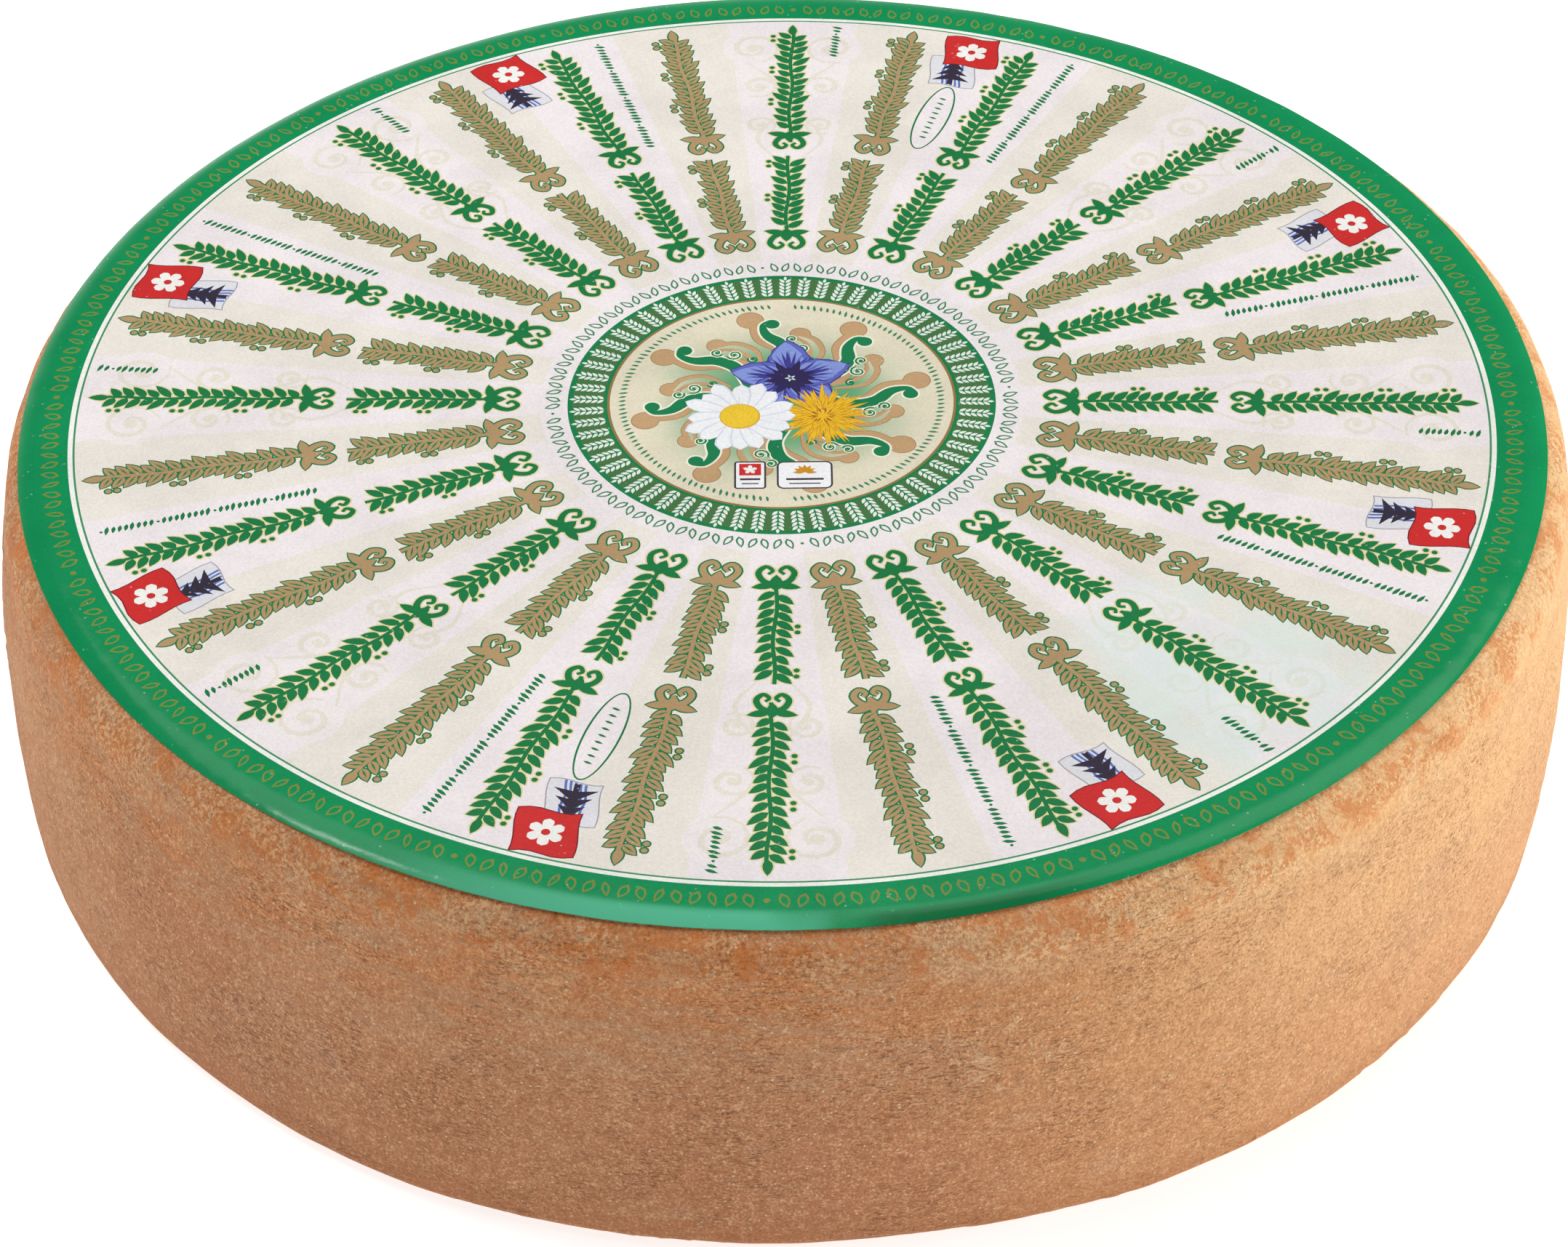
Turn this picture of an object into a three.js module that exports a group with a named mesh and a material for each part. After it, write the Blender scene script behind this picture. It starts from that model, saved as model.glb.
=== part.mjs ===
// A flat, round, semi-hard cheese wheel with a printed paper disc stuck to its top face.
// Millimetres, +Z up. The origin is the middle of the underside, on the surface the wheel rests on.
import * as THREE from 'three';

// Driving dimensions
const wheelDiameter = 313;         // across the widest part of the bulging side
const wheelHeight = 76;            // underside to the cheese's top face
const sideBulge = 3;               // how far the middle of the side stands out past its two ends
const shoulderRadius = 9;          // rounding from the side over to the top face
const heelRadius = 6;              // rounding from the side under to the underside
const labelDiameter = 298;         // the printed disc, over its turned-down rim
const labelThickness = 0.3;        // coated label paper with its printed film
const glueGap = 0.3;               // the layer of paste between the paper and the rind
const turns = 120;                 // facets round the wheel

// The rounded corners and the bulging side, worked out from the driving dimensions
const wheelRadius = wheelDiameter / 2;
const sideEndRadius = wheelRadius - sideBulge;
const topFaceRadius = sideEndRadius - shoulderRadius;
const bottomFaceRadius = sideEndRadius - heelRadius;
const shoulderHeight = wheelHeight - shoulderRadius;

const rindColour = 0xb9793f;
const paperColour = 0xe9e4d4;

// Points of a quarter-like arc from one angle to another, measured from +radius towards +Z.
function arcPoints(centreRadius, centreHeight, radius, fromDegrees, toDegrees, steps) {
  const points = [];
  for (let i = 0; i <= steps; i += 1) {
    const angle = THREE.MathUtils.degToRad(fromDegrees + (toDegrees - fromDegrees) * i / steps);
    points.push(new THREE.Vector2(
      centreRadius + radius * Math.cos(angle),
      centreHeight + radius * Math.sin(angle),
    ));
  }
  return points;
}

// The side swells as a parabola between the heel and the shoulder; its two ends are left to the arcs.
function sidePoints(steps) {
  const points = [];
  for (let i = 1; i < steps; i += 1) {
    const along = i / steps;
    const height = heelRadius + (shoulderHeight - heelRadius) * along;
    points.push(new THREE.Vector2(sideEndRadius + sideBulge * 4 * along * (1 - along), height));
  }
  return points;
}

// Turns a profile of (radius, height) points round the upright axis. A lathe turns its profile round
// its own Y axis, so the result is stood up to put that axis along +Z.
function turned(profile) {
  const geometry = new THREE.LatheGeometry(profile, turns);
  geometry.rotateX(Math.PI / 2);
  return geometry;
}

function makeCheeseWheel() {
  const profile = [
    new THREE.Vector2(0, 0),
    ...arcPoints(bottomFaceRadius, heelRadius, heelRadius, -90, 0, 4),
    ...sidePoints(8),
    ...arcPoints(topFaceRadius, shoulderHeight, shoulderRadius, 0, 90, 6),
    new THREE.Vector2(0, wheelHeight),
  ];
  const rind = new THREE.MeshStandardMaterial({ color: rindColour, roughness: 0.75, metalness: 0 });
  const mesh = new THREE.Mesh(turned(profile), rind);
  mesh.name = 'cheese_wheel';
  return mesh;
}

// The paper lies flat on the top face and its rim bends down over the shoulder, a glue gap off the rind.
function makeTopLabel() {
  const innerRadius = shoulderRadius + glueGap;
  const outerRadius = innerRadius + labelThickness;
  const rimReach = labelDiameter / 2 - topFaceRadius;
  const rimAngle = THREE.MathUtils.radToDeg(Math.acos(rimReach / outerRadius));
  const profile = [
    new THREE.Vector2(0, wheelHeight + glueGap),
    ...arcPoints(topFaceRadius, shoulderHeight, innerRadius, 90, rimAngle, 4),
    ...arcPoints(topFaceRadius, shoulderHeight, outerRadius, rimAngle, 90, 4),
    new THREE.Vector2(0, wheelHeight + glueGap + labelThickness),
  ];
  const paper = new THREE.MeshStandardMaterial({ color: paperColour, roughness: 0.35, metalness: 0 });
  const mesh = new THREE.Mesh(turned(profile), paper);
  mesh.name = 'top_label';
  return mesh;
}

const group = new THREE.Group();
group.add(makeCheeseWheel());
group.add(makeTopLabel());

export default group;
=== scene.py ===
"""A whole round cheese with a printed paper disc on its top face.

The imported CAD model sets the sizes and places. Shapes are worked out in millimetres, with the label's
centre over the origin and +X to the right, and are scaled to metres when a mesh is made.
"""
import itertools
import math

import bpy
import numpy as np
from mathutils import Matrix, Vector
from mathutils.geometry import delaunay_2d_cdt


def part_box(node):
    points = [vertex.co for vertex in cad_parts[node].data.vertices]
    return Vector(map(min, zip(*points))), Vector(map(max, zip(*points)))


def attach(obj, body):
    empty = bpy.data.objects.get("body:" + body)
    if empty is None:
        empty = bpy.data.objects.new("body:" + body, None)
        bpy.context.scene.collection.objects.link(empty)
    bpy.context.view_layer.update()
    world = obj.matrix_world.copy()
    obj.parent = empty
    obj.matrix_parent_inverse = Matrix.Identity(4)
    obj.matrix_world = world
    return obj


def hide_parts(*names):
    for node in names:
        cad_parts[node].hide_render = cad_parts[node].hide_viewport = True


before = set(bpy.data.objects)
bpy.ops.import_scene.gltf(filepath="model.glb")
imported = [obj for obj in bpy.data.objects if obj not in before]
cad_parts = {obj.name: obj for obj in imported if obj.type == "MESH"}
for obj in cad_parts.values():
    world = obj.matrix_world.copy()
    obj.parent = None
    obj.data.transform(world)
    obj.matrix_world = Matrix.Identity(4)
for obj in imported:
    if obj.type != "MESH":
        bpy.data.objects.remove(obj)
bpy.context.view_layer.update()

MM = 0.001
wheel_high = np.array(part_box("cheese_wheel")[1]) / MM       # the far corner of the solid's box
label_high = np.array(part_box("top_label")[1]) / MM

# ---- Sizes, in millimetres ----
WHEEL_RADIUS = wheel_high[0] - 0.4      # the widest part of the side, left inside the CAD solid
WHEEL_TOP = wheel_high[2] - 0.15        # the cheese's own top face
SHOULDER = 9.0                          # rounding over to the top face
HEEL = 4.0                              # rounding under to the underside
LABEL_RADIUS = label_high[0] - 0.05
LABEL_TOP = label_high[2] - 0.14        # the printed side, before its ripples
LABEL_THICKNESS = 0.16
TOP_SHIFT = np.array([0.5, -0.9])       # the pressed cheese leans: its top face sits off the axis
FOOT_SHIFT = np.array([-0.35, 0.7])     # and so does its underside


# ==== Repeatable noise for the shapes ====
def hashed(cells, seed):
    """A repeatable number from 0 to 1 for each whole-numbered cell."""
    mixed = cells.astype(np.int64) @ np.array([73856093, 19349663, 83492791]) + seed * 2654435761
    mixed = (mixed ^ (mixed >> 13)) * 1274126177
    mixed = mixed ^ (mixed >> 16)
    return (mixed & 0xFFFFF) / 0xFFFFF


def value_noise(points, cell, seed):
    """Smooth noise from -1 to 1 whose bumps are about one cell across."""
    scaled = points / cell
    low = np.floor(scaled)
    part = scaled - low
    ease = part ** 3 * (part * (part * 6 - 15) + 10)
    total = np.zeros(len(points))
    for corner in itertools.product((0, 1), repeat=3):
        weight = np.prod(np.where(corner, ease, 1 - ease), axis=1)
        total += weight * hashed(low + corner, seed)
    return 2 * total - 1


def layered_noise(points, cell, seed, octaves=3):
    """Value noise with finer, fainter copies of itself added."""
    total = np.zeros(len(points))
    for octave in range(octaves):
        total += value_noise(points, cell / 2 ** octave, seed + octave) / 2 ** octave
    return total / 1.6


def smoothstep(low, high, x):
    t = np.clip((x - low) / (high - low), 0, 1)
    return t * t * (3 - 2 * t)


# ==== Camera, floor and lights ====
VIEW_ELEVATION = math.radians(37.03)    # of the camera, seen from the middle of the label
CAMERA_PITCH = math.radians(39.87)      # how far down the camera points
CAMERA_ROLL = math.radians(-0.61)
CAMERA_DISTANCE = 0.8857                # metres to the middle of the label
LENS_MM = 103.6                         # on a 36 mm wide sensor


def make_camera():
    camera = bpy.data.objects.new("camera", bpy.data.cameras.new("camera"))
    camera.data.sensor_width = 36
    camera.data.lens = LENS_MM
    target = Vector((0, 0, label_high[2] * MM))
    back = Vector((0, -math.cos(VIEW_ELEVATION), math.sin(VIEW_ELEVATION)))
    ahead = Vector((0, math.cos(CAMERA_PITCH), -math.sin(CAMERA_PITCH)))
    level = ahead.cross(Vector((0, 0, 1))).normalized()
    over = level.cross(ahead)
    right = level * math.cos(CAMERA_ROLL) + over * math.sin(CAMERA_ROLL)
    up = over * math.cos(CAMERA_ROLL) - level * math.sin(CAMERA_ROLL)
    axes = Matrix((right, up, -ahead)).transposed().to_4x4()
    camera.matrix_world = Matrix.Translation(target + back * CAMERA_DISTANCE) @ axes
    bpy.context.scene.collection.objects.link(camera)
    bpy.context.scene.camera = camera


def area_light(name, place, aim, size, radiance, colour=(1, 1, 1)):
    """A rectangular softbox. radiance is its brightness as seen, beside a white that renders as 1."""
    light = bpy.data.lights.new(name, "AREA")
    light.shape = "RECTANGLE"
    light.size, light.size_y = size
    light.energy = radiance * math.pi * size[0] * size[1]
    light.color = colour
    lamp = bpy.data.objects.new(name, light)
    toward = Vector(aim) - Vector(place)
    lamp.matrix_world = Matrix.Translation(place) @ toward.to_track_quat("-Z", "Y").to_matrix().to_4x4()
    bpy.context.scene.collection.objects.link(lamp)


def make_studio():
    """Softboxes overhead and to the right, a weak one to the left, a small panel that glints on the
    label's film, and white walls that fade to a dim ceiling."""
    area_light("overhead_left", (-0.53, 0.55, 1.75), (-0.53, 0.55, 0), (1.35, 1.9), 2.5)
    area_light("overhead_back", (0.83, 0.98, 1.75), (0.83, 0.98, 0), (1.35, 1.05), 2.75)
    area_light("right_softbox", (1.78, -0.2, 0.42), (0, 0, 0.04), (1.1, 0.8), 8.3, (1.0, 0.97, 0.89))
    area_light("left_fill", (-1.85, 0.0, 0.7), (0, 0, 0.05), (1.2, 1.0), 0.74, (1.0, 0.97, 0.93))
    area_light("glint_panel", (-0.9, 0.2, 1.65), (-0.9, 0.2, 0), (0.34, 0.16), 30.0)
    world = bpy.data.worlds.new("studio")
    world.use_nodes = True
    tree = world.node_tree
    direction = tree.nodes.new("ShaderNodeTexCoord")
    split = tree.nodes.new("ShaderNodeSeparateXYZ")
    fade = tree.nodes.new("ShaderNodeMapRange")
    tree.links.new(direction.outputs["Generated"], split.inputs[0])
    tree.links.new(split.outputs["Z"], fade.inputs["Value"])
    for socket, value in (("From Min", 0.04), ("From Max", 0.26), ("To Min", 0.87), ("To Max", 0.1)):
        fade.inputs[socket].default_value = value
    tree.links.new(fade.outputs["Result"], tree.nodes["Background"].inputs["Strength"])
    tree.nodes["Background"].inputs["Color"].default_value = (1, 1, 1, 1)
    bpy.context.scene.world = world
    bpy.context.scene.view_settings.view_transform = "Standard"


def make_floor():
    reach = 6.0
    mesh = bpy.data.meshes.new("studio_floor")
    corners = [(-reach, -reach, 0), (reach, -reach, 0), (reach, reach, 0), (-reach, reach, 0)]
    mesh.from_pydata(corners, [], [(0, 1, 2, 3)])
    floor = bpy.data.objects.new("studio_floor", mesh)
    bpy.context.scene.collection.objects.link(floor)
    material = bpy.data.materials.new("studio_floor")
    material.use_nodes = True
    shader = material.node_tree.nodes["Principled BSDF"]
    for socket, value in (
        ("Base Color", (0.56, 0.56, 0.56, 1)), ("Roughness", 0.9), ("Specular IOR Level", 0.1),
        ("Emission Color", (1, 1, 1, 1)), ("Emission Strength", 0.78),
    ):
        shader.inputs[socket].default_value = value
    mesh.materials.append(material)


make_camera()
make_studio()
make_floor()


# ==== Building materials from nodes ====
class Surface:
    """A material whose colour, roughness and bump are built from nodes on object coordinates."""

    def __init__(self, name, roughness, specular, coat=0.0, coat_roughness=0.1):
        self.material = bpy.data.materials.new(name)
        self.material.use_nodes = True
        self.tree = self.material.node_tree
        self.shader = self.tree.nodes["Principled BSDF"]
        self.shader.inputs["Roughness"].default_value = roughness
        self.shader.inputs["Specular IOR Level"].default_value = specular
        self.shader.inputs["Coat Weight"].default_value = coat
        self.shader.inputs["Coat Roughness"].default_value = coat_roughness
        self.place = self.node("TexCoord", {}).outputs["Object"]

    def node(self, kind, inputs, **settings):
        """A new node; inputs holds a value or another node's output for each socket named."""
        made = self.tree.nodes.new("ShaderNode" + kind)
        for key, value in settings.items():
            setattr(made, key, value)
        for socket, value in inputs.items():
            self.feed(made.inputs[socket], value)
        return made

    def feed(self, socket, value):
        """Links or sets a socket, whichever the value calls for."""
        if isinstance(value, bpy.types.NodeSocket):
            self.tree.links.new(value, socket)
        elif socket.type == "RGBA":
            socket.default_value = (*value, 1)
        else:
            socket.default_value = value

    def stretched(self, scale, turn=0.0):
        """Object coordinates scaled by (x, y, z), turned about Z first."""
        made = self.node("Mapping", {"Vector": self.place, "Scale": scale, "Rotation": (0, 0, turn)})
        return made.outputs["Vector"]

    def noise(self, scale, detail=2.0, roughness=0.5, distortion=0.0, place=None):
        made = self.node("TexNoise", {
            "Vector": place or self.place, "Scale": scale, "Detail": detail,
            "Roughness": roughness, "Distortion": distortion,
        })
        return made.outputs["Fac"]

    def scattered(self, scale):
        """Distance to the nearest of many scattered points, and a random colour for each point."""
        made = self.node("TexVoronoi", {"Vector": self.place, "Scale": scale})
        return made.outputs["Distance"], made.outputs["Color"]

    def flecks(self, scale, size, share):
        """A mask of small round spots at a share of the points; size is their radius in cells."""
        distance, colour = self.scattered(scale)
        pick = self.node("SeparateColor", {0: colour})
        chosen = self.maths("LESS_THAN", pick.outputs[0], share)
        return self.times(self.ranged(distance, size, size * 0.45), chosen)

    def distance_from(self, x, y):
        """How far, seen from above, the surface is from a point."""
        points = {0: self.stretched((1, 1, 0)), 1: (x, y, 0)}
        made = self.node("VectorMath", points, operation="DISTANCE")
        return made.outputs["Value"]

    def axis(self, name):
        return self.node("SeparateXYZ", {0: self.place}).outputs[name]

    def maths(self, operation, a, b=0.0):
        return self.node("Math", {0: a, 1: b}, operation=operation).outputs[0]

    def times(self, value, *others):
        for other in others:
            value = self.maths("MULTIPLY", value, other)
        return value

    def plus(self, value, *others):
        for other in others:
            value = self.maths("ADD", value, other)
        return value

    def ranged(self, value, low, high, to_low=0.0, to_high=1.0):
        """value eased from low..high to to_low..to_high and held at the ends."""
        made = self.node("MapRange", {
            "Value": value, "From Min": low, "From Max": high, "To Min": to_low, "To Max": to_high,
        }, interpolation_type="SMOOTHSTEP")
        return made.outputs["Result"]

    def mix(self, share, a, b):
        return self.node("Mix", {"Factor": share, 6: a, 7: b}, data_type="RGBA").outputs[2]

    def colour(self, value):
        self.feed(self.shader.inputs["Base Color"], value)

    def over(self, share, *screen):
        """Lays a share of another colour, given in screen values, over the present one."""
        ground = self.shader.inputs["Base Color"].links[0].from_socket
        self.colour(self.mix(share, ground, display(*screen)))

    def roughness(self, value):
        self.feed(self.shader.inputs["Roughness"], value)

    def bump(self, height, depth_mm, strength, coat_too=False):
        """Tilts the surface as a height field would; height runs 0 to 1 over depth_mm."""
        made = self.node("Bump", {"Height": height, "Distance": depth_mm * MM, "Strength": strength})
        self.feed(self.shader.inputs["Normal"], made.outputs["Normal"])
        if coat_too:
            self.feed(self.shader.inputs["Coat Normal"], made.outputs["Normal"])


def display(red, green, blue):
    """A colour given as screen values from 0 to 255, as scene-linear numbers."""
    return tuple(
        c / 12.92 if c <= 0.04045 else ((c + 0.055) / 1.055) ** 2.4
        for c in (red / 255, green / 255, blue / 255)
    )


# ==== The cheese ====
COLUMNS = 960                           # mesh columns round the wheel, about 1 mm apart
SIDE_END = 153.2                        # radius where the side meets the shoulder
WIDEST_AT = 30.0                        # height of the widest part of the side
TOP_FLAT = SIDE_END - SHOULDER          # radius of the flat top face
SHOULDER_HEIGHT = WHEEL_TOP - SHOULDER


def side_radius(z):
    """The side swells lowest down, where the young cheese sagged."""
    taper = (WHEEL_RADIUS - SIDE_END) / (SHOULDER_HEIGHT - WIDEST_AT) ** 2
    return WHEEL_RADIUS - taper * (z - WIDEST_AT) ** 2


def wheel_profile():
    """(radius, height) from the middle of the underside, out, up and in to the middle of the top."""
    foot = side_radius(HEEL) - HEEL
    under = [(r, 0.0) for r in (0.0, 25, 60, 95, 120, 136, 144)]
    heel = [
        (foot + HEEL * math.sin(a), HEEL - HEEL * math.cos(a))
        for a in np.linspace(0, math.pi / 2, 10)
    ]
    side = [(side_radius(z), z) for z in np.linspace(HEEL, SHOULDER_HEIGHT, 61)[1:-1]]
    shoulder = [
        (TOP_FLAT + SHOULDER * math.cos(a), SHOULDER_HEIGHT + SHOULDER * math.sin(a))
        for a in np.linspace(0, math.pi / 2, 15)
    ]
    top = [(r, WHEEL_TOP) for r in (141, 136, 120, 90, 50, 0.0)]
    return np.array(under + heel + side + shoulder + top)


def lean(z):
    """How far the wheel's own axis stands off the label's at a height."""
    share = np.clip(np.asarray(z) / WHEEL_TOP, 0, 1)[..., None]
    return FOOT_SHIFT * (1 - share) + TOP_SHIFT * share


def swell(azimuth, z):
    """Slow out-of-round: the press and the shelf leave a cheese a millimetre or two off a true round."""
    def belly(centre_degrees, breadth):
        return np.exp(-((np.cos(azimuth - math.radians(centre_degrees)) - 1) / breadth) ** 2)

    low = np.clip(1 - z / WHEEL_TOP, 0, 1)
    left_belly = 0.9 * belly(225, 0.22) * low
    back_belly = 1.5 * belly(34, 0.09)
    right_belly = 2.3 * belly(-42, 0.14) * (0.25 + 0.75 * low)
    ripple = 0.2 * np.sin(3 * azimuth + 0.6) + 0.15 * np.sin(5 * azimuth + z / 40)
    return left_belly + back_belly + right_belly + ripple - 0.35


def wheel_points():
    """Grid of points, profile rows by columns, with the rind's real relief on them."""
    profile = wheel_profile()
    azimuth = np.linspace(0, 2 * math.pi, COLUMNS, endpoint=False)
    radius, height = (profile[:, i, None] + 0 * azimuth for i in (0, 1))
    round_part = smoothstep(120, 150, radius)
    radius = radius + round_part * swell(azimuth[None, :], height)
    flat = np.stack([radius * np.cos(azimuth), radius * np.sin(azimuth), height], axis=-1)
    slope = np.gradient(profile, axis=0)
    slope /= np.linalg.norm(slope, axis=1)[:, None]
    out, up = slope[:, 1, None], -slope[:, 0, None]
    normal = np.stack([out * np.cos(azimuth), out * np.sin(azimuth), up + 0 * azimuth], axis=-1)
    points = flat.reshape(-1, 3)
    relief = rind_relief(points)
    radii, heights = profile.T
    off_middle = smoothstep(100, 140, radii)
    under_paper = smoothstep(TOP_FLAT + 4.5, TOP_FLAT - 1, radii) * (heights > WHEEL_TOP / 2)
    on_shelf = smoothstep(0.8, 0.0, heights)
    free = np.repeat(off_middle * (1 - under_paper) * (1 - on_shelf), COLUMNS)
    points = points + normal.reshape(-1, 3) * (relief * free)[:, None]
    points[:, :2] += lean(points[:, 2])
    points[:, 2] = np.clip(points[:, 2], 0, WHEEL_TOP)
    return points.reshape(len(profile), COLUMNS, 3), profile


def rind_relief(points):
    """Outward relief of the rind in millimetres."""
    stretched = points * np.array([1, 1, 2.6])
    lumps = 0.30 * layered_noise(points, 34, 11) + 0.14 * layered_noise(points, 11, 17)
    dragged = 0.075 * layered_noise(stretched, 7.5, 23, 2)
    crust_patch = smoothstep(0.05, 0.5, layered_noise(points, 26, 31))
    ridges = 1 - np.abs(value_noise(stretched, 5.0, 37))
    crust = 0.22 * crust_patch * smoothstep(0.72, 1.0, ridges)
    pits = -0.22 * smoothstep(0.55, 0.85, value_noise(stretched, 4.2, 41))
    return lumps + dragged + crust + pits * smoothstep(-0.3, 0.4, layered_noise(points, 40, 43))


def make_mesh(name, points, faces, materials):
    mesh = bpy.data.meshes.new(name)
    mesh.from_pydata((np.asarray(points) * MM).tolist(), [], faces)
    piece = bpy.data.objects.new(name, mesh)
    bpy.context.scene.collection.objects.link(piece)
    for material in materials:
        mesh.materials.append(material)
    return piece


def rind_material():
    """A washed rind: tan, with an orange shoulder, floury bloom, fine grit, small cracks and scars."""
    s = Surface("washed_rind", roughness=0.75, specular=0.25)
    x, y, height = (s.axis(name) for name in "XYZ")
    long_way = s.stretched((1, 1, 2.6))         # for patterns drawn out round the wheel
    longest_way = s.stretched((1, 1, 4.5))
    rough_side = s.ranged(x, -0.01, 0.12, 1.0, 0.75)
    orange_side = s.ranged(x, -0.02, 0.09, 1.0, 0.08)

    # Broad colour: cloudy tan, with painted light making it paler to the right, darker low down, and
    # painted shade on the front-left
    clouds = s.ranged(s.noise(14, 4, 0.55, 0.4), 0.36, 0.66)
    s.colour(s.mix(clouds, display(216, 160, 113), display(201, 141, 96)))
    mottle = s.ranged(s.noise(85, 5, 0.65, 0.3, long_way), 0.40, 0.68, 0, 0.45)
    s.over(mottle, 208, 142, 90)
    # Painted light: paler and yellower towards the right, where the key light falls
    s.over(s.ranged(x, 0.0, 0.15, 0, 0.66), 236, 193, 140)
    s.over(s.times(s.ranged(height, 0.058, 0.015, 0, 0.6), rough_side), 185, 123, 83)
    # Painted shade: darker on the upper front-left, away from the key light
    painted_front_shade = s.times(s.ranged(y, -0.06, -0.12), s.ranged(x, 0.06, -0.01))
    s.over(s.times(painted_front_shade, s.ranged(height, 0.066, 0.045, 0, 0.34)), 170, 108, 80)
    orange_patch = s.ranged(s.noise(40, 5, 0.65, 0.4, long_way), 0.36, 0.52)
    s.over(s.times(orange_patch, s.ranged(height, 0.040, 0.068), orange_side, 0.7), 202, 120, 62)
    grey = s.ranged(s.noise(26, 4, 0.62, 0.5, long_way), 0.52, 0.68)
    s.over(s.times(grey, 0.35), 192, 150, 118)

    # Grain, finer than a millimetre: its own speckle, with painted shade in its hollows and painted
    # highlight on its crests
    grain = s.noise(1700, 3, 0.8)
    coarse = s.noise(520, 3, 0.7)
    tone = s.plus(s.times(grain, 0.72), s.times(coarse, 0.28))
    s.over(s.times(s.ranged(tone, 0.505, 0.37, 0, 0.72), rough_side), 152, 94, 56)
    s.over(s.ranged(tone, 0.505, 0.63, 0, 0.56), 246, 206, 158)

    # Short cracks that run round the wheel, in patches
    crack_patch = s.times(s.ranged(s.noise(48, 3, 0.6), 0.40, 0.62, 0.1, 1.0), rough_side)
    cracks = s.ranged(s.noise(800, 2, 0.6, 0.3, long_way), 0.61, 0.65)
    dashes = s.ranged(s.noise(480, 3, 0.6, 0.2, longest_way), 0.61, 0.65)
    cracks = s.times(s.maths("MAXIMUM", cracks, dashes), crack_patch)
    s.over(s.times(cracks, 0.6), 122, 70, 38)

    # Floury bloom on the upper side
    bloom_patch = s.ranged(s.noise(58, 6, 0.76, 0.6, longest_way), 0.48, 0.58)
    bloom_zone = s.times(s.ranged(height, 0.034, 0.058, 0.08, 1.0), orange_side)
    flour = s.maths("MAXIMUM", s.ranged(tone, 0.46, 0.60, 0.25, 1.0), s.flecks(1300, 0.34, 0.25))
    bloom = s.times(bloom_patch, bloom_zone, flour)
    s.over(s.times(bloom, 0.6), 228, 190, 152)

    # The lip under the label's edge: painted light makes it paler to the right; it has orange strokes
    # and crumbs of crust
    painted_lip_light = s.times(s.ranged(height, 0.061, 0.068), s.ranged(x, 0.02, 0.10, 0, 0.25))
    s.over(painted_lip_light, 242, 196, 140)
    lip = s.times(s.ranged(height, 0.0640, 0.0695), s.ranged(s.noise(160, 5, 0.7, 0.5), 0.47, 0.56))
    s.over(s.times(lip, 0.6), 208, 118, 50)
    crust_patch = s.ranged(s.noise(70, 3, 0.6), 0.42, 0.58, 0.2, 1.0)
    crumb = s.ranged(s.noise(1150, 4, 0.74), 0.48, 0.57)
    crumbs = s.times(crumb, crust_patch, s.ranged(height, 0.0605, 0.0685))
    s.over(s.times(crumbs, s.ranged(x, 0.0, 0.08, 0.5, 0.7)), 248, 212, 162)

    # Pale grit, thin wandering scars, and a browner foot
    grit = s.flecks(680, 0.27, 0.2)
    s.over(s.times(grit, 0.6), 248, 220, 178)
    off_line = s.maths("ABSOLUTE", s.maths("SUBTRACT", s.noise(75, 2, 0.5, 1.2), 0.5))
    scar = s.times(s.ranged(off_line, 0.010, 0.003), s.ranged(s.noise(19, 2), 0.62, 0.66))
    scar = s.times(scar, s.ranged(height, 0.025, 0.045))
    s.over(s.times(scar, 0.3), 240, 206, 164)
    s.over(s.ranged(height, 0.012, 0.001, 0, 0.4), 176, 112, 66)

    s.roughness(s.ranged(grain, 0.3, 0.7, 0.66, 0.88))
    sunk = s.maths("SUBTRACT", s.plus(s.times(grain, 0.55), s.times(coarse, 0.4)), s.times(cracks, 0.35))
    raised = s.plus(s.times(grit, 0.4), s.times(bloom, 0.25), s.times(crumbs, 0.1), s.times(scar, 0.35))
    s.bump(s.plus(sunk, raised), 0.46, 0.95)
    return s.material


SIDE_STRIPS = 3                         # the side's UVs lie in strips one above the other
STRIP_HEIGHT = 0.245
STRIP_GAP = 0.006
DISC_SPAN = 0.118                       # radius of the UVs of the underside and of the top face
UNDER_MIDDLE = np.array((0.13, 0.87))
TOP_MIDDLE = np.array((0.40, 0.87))


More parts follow.
